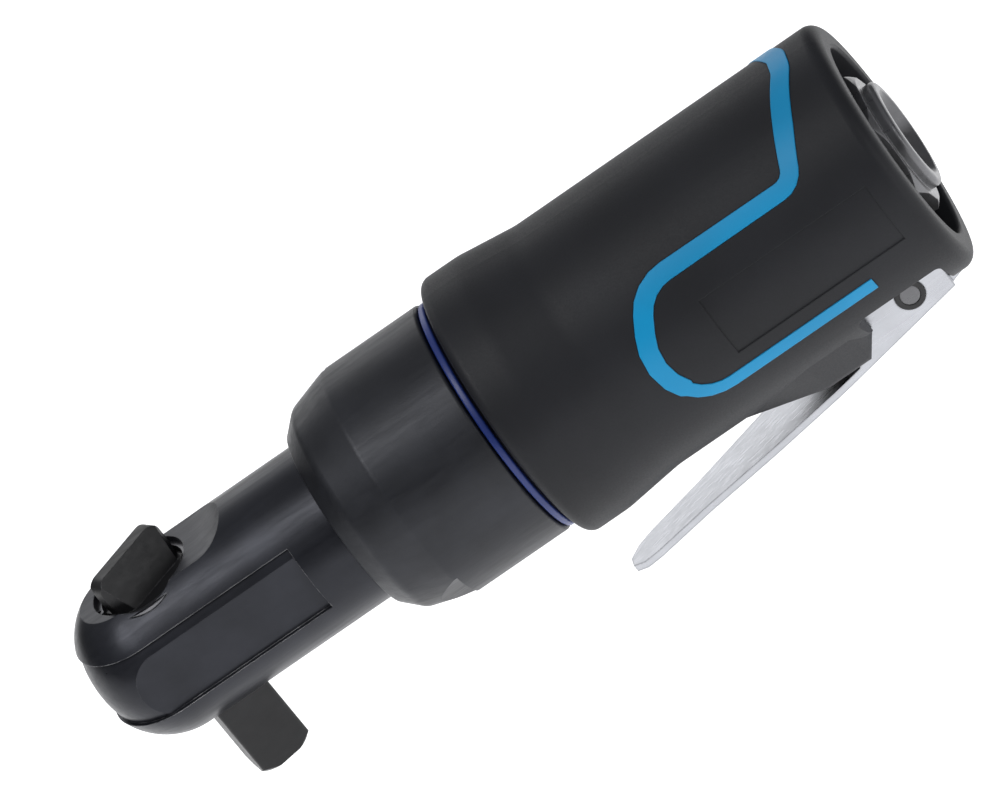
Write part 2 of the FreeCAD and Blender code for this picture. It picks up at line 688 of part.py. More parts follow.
def gears():
    teeth = int(num(d.small_teeth))
    width = num(d.planet_width)
    start = num(d.planet_x)
    loose("sun_gear", gear(teeth, start + 0.3, width + 1.0, 2.75, 0.0))
    pins = []
    for index in range(3):
        turn = 120.0 * index
        planet = gear(teeth, start, width, num(d.planet_pin_r) + 0.04, 180.0 / teeth)
        pin = along_x(num(d.planet_pin_r), num(d.flange_x) + 1.0, start + width + 0.2)
        for shape in (planet, pin):
            shape.translate(Vector(0, 0, num(planet_circle())))
            shape.rotate(Vector(0, 0, 0), Vector(1, 0, 0), turn)
        loose("planet_gear_%d" % (index + 1), planet)
        pins.append(pin)
    loose("planet_pins", Part.makeCompound(pins))
    turned_ring("planet_washer", start + width + 0.25, start + width + 1.0, 6.6, 13.5)

    ring_teeth = int(num(d.ring_teeth))
    pitch = num(d.module_size) * ring_teeth / 2
    module = num(d.module_size)
    length = num(d.plate_x - d.flange_end_x) - 0.15
    blank = along_x(num(d.ring_r), num(d.flange_end_x) + 0.05, num(d.flange_end_x) + 0.05 + length)
    wire = gear_wire(ring_teeth, pitch + 1.05 * module, pitch - 0.8 * module, BACKLASH)
    cutter = Part.Face(wire).extrude(Vector(length + 4, 0, 0))
    cutter.translate(Vector(num(d.flange_end_x) - 2, 0, 0))
    cutter.rotate(Vector(0, 0, 0), Vector(1, 0, 0), 180.0 / ring_teeth)
    loose("ring_gear", blank.cut(cutter))


# ---------------------------------------------------------------- air motor

def bearing(name, start):
    """A ball bearing on the rotor's shaft: outer ring, inner ring and balls."""
    middle = start + d.bearing_width * 0.5
    track = (num(d.shaft_r) + 0.05 + num(d.bearing_r)) / 2
    for part, low, high in (("outer", track + 0.75, d.bearing_r), ("inner", d.shaft_r + 0.02, track - 0.75)):
        ring = turned_ring(name + "_bearing_" + part, start, start + d.bearing_width, low, high)
        groove = circle(new_sketch(ring, "XZ_Plane"), middle, track, d.bearing_ball_r + 0.03)
        revolve(ring, groove, cut=True)
    balls = []
    for index in range(8):
        ball = Part.makeSphere(num(d.bearing_ball_r), Vector(num(middle), 0, track))
        ball.rotate(Vector(0, 0, 0), Vector(1, 0, 0), index * 45.0)
        balls.append(ball)
    loose(name + "_bearing_balls", Part.makeCompound(balls))


DOWEL_Z = -13.5
DOWEL_R = 1.0


def dowel_hole(body, start, length):
    hole = circle(new_sketch(body, "YZ_Plane", start), 0, DOWEL_Z, DOWEL_R + 0.05)
    extrude(body, hole, length, cut=True, reverse=True)


def motor():
    front = turned("front_end_plate", [
        (d.plate_x, 5.7), (d.plate_x, 15.95, 0.4), (d.cylinder_x - 0.05, 15.95), (d.cylinder_x - 0.05, 4.6),
        (d.cylinder_x - 1.5, 4.6), (d.cylinder_x - 1.5, d.bearing_r + 0.02),
        (d.cylinder_x - 6.1, d.bearing_r + 0.02), (d.cylinder_x - 6.1, 5.7)])
    dowel_hole(front, d.cylinder_x - 5.0, 8.0)
    bearing("front", d.cylinder_x - 6.05)

    cylinder = new_body("motor_cylinder")
    section = circle(new_sketch(cylinder, "YZ_Plane", d.cylinder_x), 0, 0, d.cylinder_r)
    circle(section, 0, d.rotor_offset, d.cylinder_bore_r)
    extrude(cylinder, section, d.cylinder_length)
    for station in (66.0, 70.0, 74.0, 78.0):
        port = circle(new_sketch(cylinder, "XZ_Plane"), station, d.rotor_offset, 1.4)
        extrude(cylinder, port, 20.0, cut=True)
    dowel_hole(cylinder, d.cylinder_x - 1.0, d.cylinder_length + 2)

    length = d.cylinder_length - 0.3
    start = d.cylinder_x + 0.15
    rotor = turned("rotor", [
        (38.0, 0), (38.0, 2.7), (d.cylinder_x - 7.0, 2.7), (d.cylinder_x - 7.0, d.shaft_r),
        (start, d.shaft_r), (start, d.rotor_r), (start + length, d.rotor_r), (start + length, d.shaft_r),
        (start + length + 6.8, d.shaft_r, 0.4), (start + length + 6.8, 0)])
    sketch = new_sketch(rotor, "YZ_Plane", start - 1)
    half = d.vane_thickness * 0.5 + 0.04
    rectangle(sketch, -half, 5.6, half, d.rotor_r + 1)
    slot = extrude(rotor, sketch, length + 2, cut=True, reverse=True)
    pattern(rotor, slot, sketch, "N_Axis", d.vane_count)

    vanes = []
    count = int(num(d.vane_count))
    thick = num(d.vane_thickness)
    for index in range(count):
        vane = Part.makeBox(num(length), thick, num(d.rotor_r) - 5.75, Vector(num(start), -thick / 2, 5.7))
        vane.rotate(Vector(0, 0, 0), Vector(1, 0, 0), 360.0 * index / count)
        vanes.append(vane)
    loose("rotor_vanes", Part.makeCompound(vanes))

    plate = d.cylinder_x + d.cylinder_length + 0.05
    rear = turned("rear_end_plate", [
        (plate, 4.6), (plate, 15.95), (plate + 6.0, 15.95, 0.4), (plate + 6.0, d.bearing_r + 0.02),
        (plate + 1.45, d.bearing_r + 0.02), (plate + 1.45, 4.6)])
    dowel_hole(rear, plate - 1.0, 5.0)
    bearing("rear", plate + 1.48)
    pin = DOC.addObject("Part::Cylinder", "dowel_pin")
    pin.Label = "dowel_pin"
    pin.Radius = DOWEL_R
    pin.Height = num(d.cylinder_length) + 8.2
    bind(pin, "Height", d.cylinder_length + 8.2)
    place(pin, d.cylinder_x - 4.6, 0.0, DOWEL_Z, Rotation(Vector(0, 1, 0), 90))
    PIECES.append(pin)
    turned_ring("motor_gasket", plate + 6.05, d.housing_floor_x - 0.05, 11.0, 15.9)


# ---------------------------------------------------------------- housing, clamp nut and seal

CHAMBER_R = 6.15


def motor_housing():
    seat = d.valve_seat_x
    thread_x = d.housing_end_x - 6.8
    body = turned("motor_housing", [
        (48.5, d.housing_bore_r), (48.5, 18.45, 0.5), (59.1, 18.45), (59.1, 18.7), (d.grip_x + 0.1, 18.7),
        (d.grip_x + 0.1, 20.1), (100.0, 20.1), (100.0, d.housing_rear_r), (d.housing_end_x, d.housing_rear_r),
        (d.housing_end_x, 8.7), (thread_x, 8.7), (thread_x, CHAMBER_R), (seat, CHAMBER_R), (seat, 4.8),
        (d.housing_floor_x, 4.8), (d.housing_floor_x, d.housing_bore_r)])

    # lug that carries the lever pin
    lug = outline(new_sketch(body, "XZ_Plane"), [
        (d.lever_pin_x - 3.6, -12.0), (d.lever_pin_x - 3.0, d.lever_pin_z - 2.25, 2.0),
        (d.lever_pin_x + 3.0, d.lever_pin_z - 2.25, 2.0), (d.lever_pin_x + 3.2, -12.0)])
    extrude(body, lug, 11.7, symmetric=True)
    # flat each side of the lug
    for side in (-1, 1):
        flat = rectangle(new_sketch(body, "XY_Plane", d.rear_cut_z - 0.15), 114.6, side * 5.85,
                         d.housing_end_x + 1, side * 18.0)
        extrude(body, flat, 6.0, cut=True)
    for low, high in ((114.6, d.lever_pin_x - 3.6), (d.lever_pin_x + 3.2, d.housing_end_x + 1)):
        flat = rectangle(new_sketch(body, "XY_Plane", d.rear_cut_z - 0.15), low, -5.86, high, 5.86)
        extrude(body, flat, 6.0, cut=True)

    pin_hole = circle(new_sketch(body, "XZ_Plane"), d.lever_pin_x, d.lever_pin_z, d.lever_pin_r + 0.02)
    extrude(body, pin_hole, 20.0, cut=True, symmetric=True)
    # throttle pin: a small bore up to the air passage and a wider pocket for its bushing and O-ring
    bore = circle(new_sketch(body, "XY_Plane", -18.0), d.valve_pin_x, 0, d.valve_pin_r + 0.1)
    extrude(body, bore, 16.0, cut=True, reverse=True)
    pocket = circle(new_sketch(body, "XY_Plane", -18.0), d.valve_pin_x, 0, 3.25)
    extrude(body, pocket, 8.0, cut=True, reverse=True)
    # exhaust passages to the rear recess
    sketch = new_sketch(body, "YZ_Plane", d.housing_floor_x - 0.5)
    circle(sketch, 0, 13.2, 1.9)
    for turn in (35.0, -35.0, 70.0, -70.0):
        angle = math.radians(turn)
        circle(sketch, 13.2 * math.sin(angle), 13.2 * math.cos(angle), 1.9)
    extrude(body, sketch, 32.0, cut=True, reverse=True)


def clamp_nut():
    body = turned("clamp_nut", [
        (d.nut_x, d.neck_r + 0.12), (d.nut_x, 15.6, 0.5), (34.0, 18.6, 3.0), (41.3, d.nut_r, 2.0),
        (d.nut_end_x, d.nut_r, 0.5), (d.nut_end_x, 18.6), (47.0, 18.6), (47.0, d.ring_r + 0.15),
        (d.flange_x - 0.1, d.ring_r + 0.15), (d.flange_x - 0.1, d.neck_r + 0.12)],
        Rotation(Vector(1, 0, 0), num(d.nut_turn)))
    for side in (-1, 1):
        flat = rectangle(new_sketch(body, "YZ_Plane", 31.2), -15.0, d.nut_flat * side, 15.0,
                         (d.nut_flat + 8) * side)
        extrude(body, flat, 10.6, cut=True, reverse=True)
    turned("seal_ring", [(59.25, 18.8), (59.25, 20.65, 0.35), (60.45, 20.65, 0.35), (60.45, 18.8)])


# ---------------------------------------------------------------- grip and trim

def cylinder_edges(radius, points):
    """A cylinder about the tool's axis, and the closed run of straight edges on it through the points.

    Each point is a station and the degrees from the side that faces -Y, up towards the selector."""
    surface = Part.Cylinder()
    surface.Radius = radius
    surface.Axis = Vector(1, 0, 0)
    flat = []
    for x, degrees in points:
        angle = math.radians(degrees)
        u, v = surface.parameter(Vector(x, -radius * math.cos(angle), radius * math.sin(angle)))
        while flat and u - flat[-1][0] > math.pi:
            u -= 2 * math.pi
        while flat and u - flat[-1][0] < -math.pi:
            u += 2 * math.pi
        flat.append((u, v))
    edges = []
    for start, end in zip(flat, flat[1:] + flat[:1]):
        line = Part.Geom2d.Line2dSegment(FreeCAD.Base.Vector2d(*start), FreeCAD.Base.Vector2d(*end))
        edges.append(line.toShape(surface))
    return surface, edges


def shell_patch(points, inner, outer):
    """A closed patch of the grip's wall between two radii."""
    faces = []
    rims = []
    for radius in (inner, outer):
        surface, edges = cylinder_edges(radius, points)
        face = Part.Face(surface, Part.Wire(edges))
        face.validate()
        faces.append(face)
        rims.append(edges)
    faces += [Part.makeRuledSurface(low, high) for low, high in zip(*rims)]
    shell = Part.makeShell(faces)
    shell.sewShape()
    solid = Part.makeSolid(shell)
    if solid.Volume < 0:
        solid.reverse()
    return solid


# the trim stripe's middle line: station, degrees up the side, corner radius and stripe width
TRIM_LINE = [(121.4, -19.7, 0.0, 2.4), (91.0, -19.7, 7.0, 2.4), (85.4, 5.0, 11.0, 3.1),
             (92.3, 35.7, 7.5, 3.1), (120.4, 35.7, 3.5, 2.9), (123.8, 57.0, 12.0, 3.3),
             (127.6, 84.0, 6.0, 3.3)]
CORNER_STEPS = 4


def stripe_points(extra, radius):
    """The trim stripe's outline over both sides of the grip, widened by extra."""
    scale = radius * math.pi / 180.0
    far_side = [(x, 180.0 - degrees, bend, width) for x, degrees, bend, width in reversed(TRIM_LINE)]
    corners = [(Vector(x, degrees * scale, 0), bend, width)
               for x, degrees, bend, width in TRIM_LINE + far_side]
    line = [(corners[0][0], corners[0][2])]
    for (start, _, _), (corner, bend, width), (end, _, _) in zip(corners, corners[1:], corners[2:]):
        back = (start - corner).normalize()
        ahead = (end - corner).normalize()
        half = back.getAngle(ahead) / 2
        reach = bend / math.tan(half)
        centre = corner + (back + ahead).normalize() * (bend / math.sin(half))
        first = corner + back * reach - centre
        last = corner + ahead * reach - centre
        for step in range(CORNER_STEPS + 1):
            share = step / CORNER_STEPS
            spoke = (first * (1 - share) + last * share).normalize() * bend
            line.append((centre + spoke, width))
    line.append((corners[-1][0], corners[-1][2]))
    left = []
    right = []
    for index, (spot, width) in enumerate(line):
        before = line[max(index - 1, 0)][0]
        after = line[min(index + 1, len(line) - 1)][0]
        along = (after - before).normalize()
        across = Vector(-along.y, along.x, 0) * ((width + extra) / 2)
        left.append(spot + across)
        right.append(spot - across)
    return [(spot.x, spot.y / scale) for spot in left + right[::-1]]


def grip():
    body = new_body("grip_body", kept=False)
    revolve(body, outline(new_sketch(body, "XZ_Plane"), [
        (d.grip_x, 20.3), (d.grip_x, d.grip_front_r, 1.8), (68.4, d.grip_front_r, 14.0),
        (78.5, d.grip_r, 14.0), (d.grip_end_x, d.grip_r, 2.4), (d.grip_end_x, d.recess_r, 0.6),
        (100.2, d.recess_r), (100.2, 20.3)]))

    # guards each side of the lever: a rounded keel that the channel then splits
    stations = [(86.0, 15.0, 8.0, -19.6), (104.0, 16.0, 9.0, d.guard_z), (112.0, 16.0, 9.0, d.guard_z),
                (115.6, 15.0, 8.0, -19.6)]
    sections = []
    for x, shoulder, half, low in stations:
        sections.append(outline(new_sketch(body, "YZ_Plane", x), [
            (-shoulder, -15.4), (-half, low, 3.5), (half, low, 3.5), (shoulder, -15.4)]))
    keel = body.newObject("PartDesign::AdditiveLoft", "grip_keel")
    keel.Profile = sections[0]
    keel.Sections = sections[1:]
    keel.Ruled = True
    # lever channel, open to the housing inside
    channel = outline(new_sketch(body, "XZ_Plane"), [
        (98.6, -30.0), (98.6, -21.6), (102.5, -15.5), (130.3, -15.5), (130.3, -30.0)])
    extrude(body, channel, d.channel_y * 2, cut=True, symmetric=True)
    rear = outline(new_sketch(body, "XZ_Plane"), [
        (114.8, -32.0), (114.8, d.rear_cut_z, 1.5), (130.3, d.rear_cut_z, 1.0), (130.3, -32.0)])
    extrude(body, rear, 60.0, cut=True, symmetric=True)

    # the bore again, through the loft, and a notch in the rim for the lever's tongue
    bore = outline(new_sketch(body, "XZ_Plane"), [
        (d.grip_x + 1, 0), (d.grip_x + 1, 20.3), (100.2, 20.3), (100.2, d.recess_r),
        (d.grip_end_x - 4, d.recess_r), (d.grip_end_x - 4, 0)])
    revolve(body, bore, cut=True)
    notch = rectangle(new_sketch(body, "XZ_Plane"), 130.2, -30.0, d.lever_end_x + 0.6, -19.9)
    extrude(body, notch, 12.4, cut=True, symmetric=True)

    radius = num(d.grip_r)
    stripe = shell_patch(stripe_points(0.0, radius), radius - 0.7, radius + 0.12)
    seat = shell_patch(stripe_points(0.04, radius), radius - 0.72, radius + 1.0)
    # shallow panel on each side, left blank
    panels = []
    for middle in (4.5, 175.5):
        corners = [(98.4, middle - 14.0), (129.4, middle - 14.0),
                   (129.4, middle + 14.0), (98.4, middle + 14.0)]
        panels.append(shell_patch(corners, radius - 0.2, radius + 1.0))
    recess = DOC.addObject("Part::Feature", "grip_recesses")
    recess.Shape = seat.fuse(panels)
    place(recess)
    cut = DOC.addObject("Part::Cut", "grip_sleeve")
    cut.Label = "grip_sleeve"
    cut.Base = body
    cut.Tool = recess
    PIECES.append(cut)
    loose("trim_stripe", stripe)


# ---------------------------------------------------------------- throttle

def lever_line(x, above):
    """Height of the lever's sheet at station x, above its straight underside."""
    slope = num(d.lever_end_z - d.lever_tip_z) / num(d.lever_end_x - d.lever_tip_x)
    return d.lever_tip_z + slope * (x - num(d.lever_tip_x)) + above


def lever():
    body = new_body("throttle_lever")
    sheet = d.lever_sheet
    rise = sheet * 1.02
    cheek_end = 129.1
    side = outline(new_sketch(body, "XZ_Plane"), [
        (d.lever_tip_x, d.lever_tip_z), (d.lever_end_x, d.lever_end_z, 0.3),
        (d.lever_end_x, rise + d.lever_end_z, 0.3), (cheek_end, lever_line(cheek_end, rise)),
        (cheek_end, -16.2, 1.5), (115.9, -16.2, 1.5), (112.7, -22.6, 4.0), (109.4, lever_line(109.4, rise)),
        (d.lever_tip_x, rise + d.lever_tip_z)])
    extrude(body, side, d.lever_half * 2, symmetric=True)
    inside = outline(new_sketch(body, "XZ_Plane"), [
        (106.0, lever_line(106.0, rise)), (cheek_end + 1, lever_line(cheek_end + 1, rise)),
        (cheek_end + 1, -14.0), (106.0, -14.0)])
    extrude(body, inside, (d.lever_half - sheet) * 2, cut=True, symmetric=True)
    # a narrower tongue behind the cheeks
    reach = d.lever_half + 2
    for sign in (-1, 1):
        tongue = outline(new_sketch(body, "XY_Plane", -30.0), [
            (cheek_end, sign * 5.7), (d.lever_end_x - 0.6, sign * 5.0), (d.lever_end_x + 1, sign * 3.6),
            (d.lever_end_x + 1, sign * num(reach)), (cheek_end, sign * num(reach))])
        extrude(body, tongue, 15.0, cut=True, reverse=True)
    # the blade narrows towards a round tip
    outer = d.lever_half + 3
    for sign in (-1, 1):
        trim = outline(new_sketch(body, "XY_Plane", -40.0), [
            (d.lever_tip_x - 2, sign * 1.2), (d.lever_tip_x, sign * 1.2), (63.6, sign * 2.85),
            (66.5, sign * 3.5), (77.0, sign * 4.2), (91.0, sign * 6.0), (104.0, sign * 7.1),
            (108.0, sign * 7.25),
            (108.0, sign * num(outer)), (d.lever_tip_x - 2, sign * num(outer))])
        extrude(body, trim, 30.0, cut=True, reverse=True)
    hole = circle(new_sketch(body, "XZ_Plane"), d.lever_pin_x, d.lever_pin_z, 2.53)
    extrude(body, hole, 20.0, cut=True, symmetric=True)

    bushes = new_body("lever_bushes")
    section = circle(new_sketch(bushes, "XZ_Plane"), d.lever_pin_x, d.lever_pin_z, 2.5)
    circle(section, d.lever_pin_x, d.lever_pin_z, d.lever_pin_r + 0.04)
    extrude(bushes, section, d.lever_half * 2 + 0.3, symmetric=True)
    middle = circle(new_sketch(bushes, "XZ_Plane"), d.lever_pin_x, d.lever_pin_z, 4.0)
    extrude(bushes, middle, (d.lever_half - sheet) * 2 - 0.1, cut=True, symmetric=True)

    pin = new_body("lever_pin")
    shank = circle(new_sketch(pin, "XZ_Plane"), d.lever_pin_x, d.lever_pin_z, d.lever_pin_r)
    extrude(pin, shank, d.lever_half * 2 + 0.2, symmetric=True)


def throttle():
    pin = turned("valve_pin", [
        (0, -25.7), (d.valve_pin_r, -25.7, 0.8), (d.valve_pin_r, -1.7, 0.8), (0, -1.7)], None, "V_Axis")
    place(pin, d.valve_pin_x)
    bushing = turned("valve_pin_bushing", [
        (d.valve_pin_r + d.run_gap, -17.2), (3.2, -17.2, 0.3), (3.2, -12.0),
        (d.valve_pin_r + d.run_gap, -12.0)], None, "V_Axis")
    place(bushing, d.valve_pin_x)
    seal = new_body("valve_pin_seal")
    revolve(seal, circle(new_sketch(seal, "XZ_Plane"), d.valve_pin_r + 0.82, -11.1, 0.78), "V_Axis")
    place(seal, d.valve_pin_x)

    seat = d.valve_seat_x
    turned_ring("valve_seat", seat + 0.05, seat + 1.55, 3.3, CHAMBER_R - 0.03)
    turned("throttle_valve", [
        (seat - 10.2, 0), (seat - 10.2, 1.5, 0.8), (seat + 1.62, 1.5), (seat + 1.62, 5.0),
        (seat + 3.2, 5.0, 0.3), (seat + 3.2, 0)])
    spring = helix(4.6, 0.7, 2.5, 2.5)
    loose("valve_spring", laid(spring, num(seat) + 3.25))


# ---------------------------------------------------------------- inlet and exhaust

def inlet():
    hex_x = d.housing_end_x + 4.1
    neck = d.housing_end_x - 6.7
    body = turned("inlet_bushing", [
        (neck, 6.6), (neck, 8.6, 0.3), (d.housing_end_x + 0.1, 8.6), (d.housing_end_x + 0.1, 9.5),
        (d.inlet_end_x, 9.5, 0.9), (d.inlet_end_x, 7.7), (d.inlet_end_x - 2.1, d.inlet_r),
        (124.1, d.inlet_r), (124.1, 6.6)])
    reach = d.hex_flats * (1 / math.sqrt(3))
    section = outline(new_sketch(body, "YZ_Plane", hex_x), [
        (reach * math.cos(math.radians(60 * step + 15)), reach * math.sin(math.radians(60 * step + 15)))
        for step in range(6)])
    circle(section, 0, 0, 9.0)
    extrude(body, section, d.grip_end_x + 0.2 - hex_x)
    bevel = outline(new_sketch(body, "XZ_Plane"), [
        (d.grip_end_x - 1.1, 12.9), (d.grip_end_x + 0.4, 12.9), (d.grip_end_x + 0.4, 11.0)])
    revolve(body, bevel, cut=True)

    screen = new_body("inlet_screen")
    disc = circle(new_sketch(screen, "YZ_Plane", 123.55), 0, 0, 6.5)
    for ring_r, count in ((0.0, 1), (2.0, 6), (4.1, 12)):
        for index in range(count):
            angle = 2 * math.pi * index / count
            circle(disc, ring_r * math.cos(angle), ring_r * math.sin(angle), 0.75)
    extrude(screen, disc, 0.45)

    turned_ring("exhaust_muffler", d.housing_end_x + 0.1, d.housing_end_x + 2.6, 9.7, 16.9)
    plate = turned_ring("exhaust_plate", d.housing_end_x + 2.7, d.housing_end_x + 4.0, 9.65, 17.05)
    sketch = new_sketch(plate, "YZ_Plane", d.housing_end_x + 2.0)
    outline(sketch, [(-0.9, 13.3, 0.8), (0.9, 13.3, 0.8), (0.9, 16.1, 0.8), (-0.9, 16.1, 0.8)])
    slot = extrude(plate, sketch, 3.0, cut=True, reverse=True)
    pattern(plate, slot, sketch, "N_Axis", 16)


def check_and_write():
    """Every feature has to be sound, and every cut has to remove material, before any file is made."""
    faults = []
    for item in DOC.Objects:
        if "Invalid" in item.State or "Error" in item.State:
            faults.append("%s is %s" % (item.Name, item.State))
        if item.TypeId in ("PartDesign::Pocket", "PartDesign::Groove"):
            removed = item.BaseFeature.Shape.Volume - item.Shape.Volume
            if removed < 1e-3:
                faults.append("%s removes %.4f" % (item.Name, removed))
    for piece in PIECES:
        if piece.Shape.isNull() or not piece.Shape.isValid() or not piece.Shape.Solids:
            faults.append("%s has no valid solid" % piece.Label)
    if faults:
        raise RuntimeError("; ".join(faults))
    os.makedirs("parts", exist_ok=True)
    for piece in PIECES:
        piece.Shape.exportStep("parts/%s.step" % piece.Label)
        print("%-22s %2d solids %9.1f mm3" % (piece.Label, len(piece.Shape.Solids), piece.Shape.Volume))


for make in (ratchet_head, anvil, anvil_details, selector, pawl, yoke, crankshaft, neck_bearing, gears, motor,
             motor_housing, clamp_nut, grip, lever, throttle, inlet):
    make()
DOC.recompute()
check_and_write()
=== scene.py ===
import json
import math

import bpy
from mathutils import Matrix, Vector


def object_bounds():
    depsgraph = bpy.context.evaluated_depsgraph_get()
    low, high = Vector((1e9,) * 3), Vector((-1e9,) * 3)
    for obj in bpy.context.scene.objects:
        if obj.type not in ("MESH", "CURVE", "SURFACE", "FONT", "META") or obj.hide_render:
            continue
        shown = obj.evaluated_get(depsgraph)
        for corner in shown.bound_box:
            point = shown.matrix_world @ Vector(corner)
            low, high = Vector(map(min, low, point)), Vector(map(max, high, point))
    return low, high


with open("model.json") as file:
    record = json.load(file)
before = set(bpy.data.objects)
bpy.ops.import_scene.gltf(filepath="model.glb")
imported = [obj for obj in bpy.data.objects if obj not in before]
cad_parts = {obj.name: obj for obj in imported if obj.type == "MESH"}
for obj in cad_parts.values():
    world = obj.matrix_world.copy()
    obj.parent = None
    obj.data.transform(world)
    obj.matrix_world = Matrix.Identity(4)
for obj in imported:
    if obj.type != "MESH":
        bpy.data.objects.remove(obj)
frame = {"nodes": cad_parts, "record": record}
cad_low, cad_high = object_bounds()
MM = 0.001


# ---------------------------------------------------------------- camera, light and floor

AIM = Vector((60.96, 0.0, 13.71)) * MM   # the middle of the view
MIDDLE = (0.06, 0, 0)                    # the spot on the drive plane that the lamps face
AZIMUTH = math.radians(9.6)
ELEVATION = math.radians(26.5)
ROLL = math.radians(38.85)
DISTANCE = 2.2                           # metres from the camera to the aim
WIDTH_AT_TOOL = 154.1 * MM               # how much of the scene's width the picture takes in
SENSOR = 36.0                            # mm


def make_camera():
    """A long lens that looks along the photograph's direction, rolled so that the tool lies aslant."""
    back = Vector((math.sin(AZIMUTH) * math.cos(ELEVATION), -math.cos(AZIMUTH) * math.cos(ELEVATION),
                   math.sin(ELEVATION)))
    level = Vector((math.cos(AZIMUTH), math.sin(AZIMUTH), 0.0))
    upright = back.cross(level)
    right = level * math.cos(ROLL) - upright * math.sin(ROLL)
    up = level * math.sin(ROLL) + upright * math.cos(ROLL)
    data = bpy.data.cameras.new("camera")
    data.sensor_width = SENSOR
    data.lens = SENSOR * DISTANCE / WIDTH_AT_TOOL
    data.clip_start = 0.1
    data.clip_end = 50.0
    camera = bpy.data.objects.new("camera", data)
    bpy.context.scene.collection.objects.link(camera)
    spot = AIM + back * DISTANCE
    camera.matrix_world = Matrix((
        (right.x, up.x, back.x, spot.x), (right.y, up.y, back.y, spot.y),
        (right.z, up.z, back.z, spot.z), (0, 0, 0, 1)))
    bpy.context.scene.camera = camera


def area_light(name, spot, target, width, height, power):
    """A soft lamp at spot that faces target; places and sizes in metres, power in watts."""
    data = bpy.data.lights.new(name, "AREA")
    data.shape = "RECTANGLE"
    data.size = width
    data.size_y = height
    data.energy = power
    light = bpy.data.objects.new(name, data)
    bpy.context.scene.collection.objects.link(light)
    light.location = spot
    light.rotation_euler = (Vector(target) - Vector(spot)).to_track_quat("-Z", "Y").to_euler()


def make_world():
    """A pale room: bright overhead, with a dimmer band at eye level that gives metal its contrast."""
    world = bpy.data.worlds.new("studio")
    world.use_nodes = True
    tree = world.node_tree
    direction = tree.nodes.new("ShaderNodeTexCoord")
    split = tree.nodes.new("ShaderNodeSeparateXYZ")
    tree.links.new(direction.outputs["Generated"], split.inputs[0])
    ramp = tree.nodes.new("ShaderNodeValToRGB")
    tree.links.new(split.outputs["Z"], ramp.inputs["Fac"])
    ramp.color_ramp.elements[0].position = 0.12
    ramp.color_ramp.elements[0].color = (0.06, 0.06, 0.065, 1)
    ramp.color_ramp.elements[1].position = 0.75
    ramp.color_ramp.elements[1].color = (0.85, 0.87, 0.92, 1)
    background = tree.nodes["Background"]
    tree.links.new(ramp.outputs["Color"], background.inputs["Color"])
    background.inputs["Strength"].default_value = 0.42
    bpy.context.scene.world = world


def make_floor():
    """A pale plane that gives off a little light of its own, like a lit product table."""
    half = 6.0
    height = cad_low[2] - 30 * MM
    mesh = bpy.data.meshes.new("floor")
    mesh.from_pydata([(-half, -half, height), (half, -half, height), (half, half, height),
                      (-half, half, height)], [], [(0, 1, 2, 3)])
    floor = bpy.data.objects.new("floor", mesh)
    bpy.context.scene.collection.objects.link(floor)
    material = bpy.data.materials.new("floor_white")
    material.use_nodes = True
    shader = material.node_tree.nodes["Principled BSDF"]
    shader.inputs["Base Color"].default_value = (0.85, 0.85, 0.85, 1)
    shader.inputs["Roughness"].default_value = 0.9
    shader.inputs["Emission Color"].default_value = (1, 1, 1, 1)
    shader.inputs["Emission Strength"].default_value = 0.85
    mesh.materials.append(material)


def make_stage():
    bpy.context.scene.view_settings.view_transform = "Standard"
    make_world()
    make_floor()
    area_light("key", (-0.30, -0.45, 0.95), MIDDLE, 0.5, 0.5, 4.5)
    area_light("back", (-0.25, 1.05, 0.48), MIDDLE, 0.7, 0.7, 2.0)
    area_light("side_strip", (0.75, -0.55, 0.25), (0.1, 0, 0), 0.15, 0.7, 1.2)


make_camera()
make_stage()


# ---------------------------------------------------------------- materials

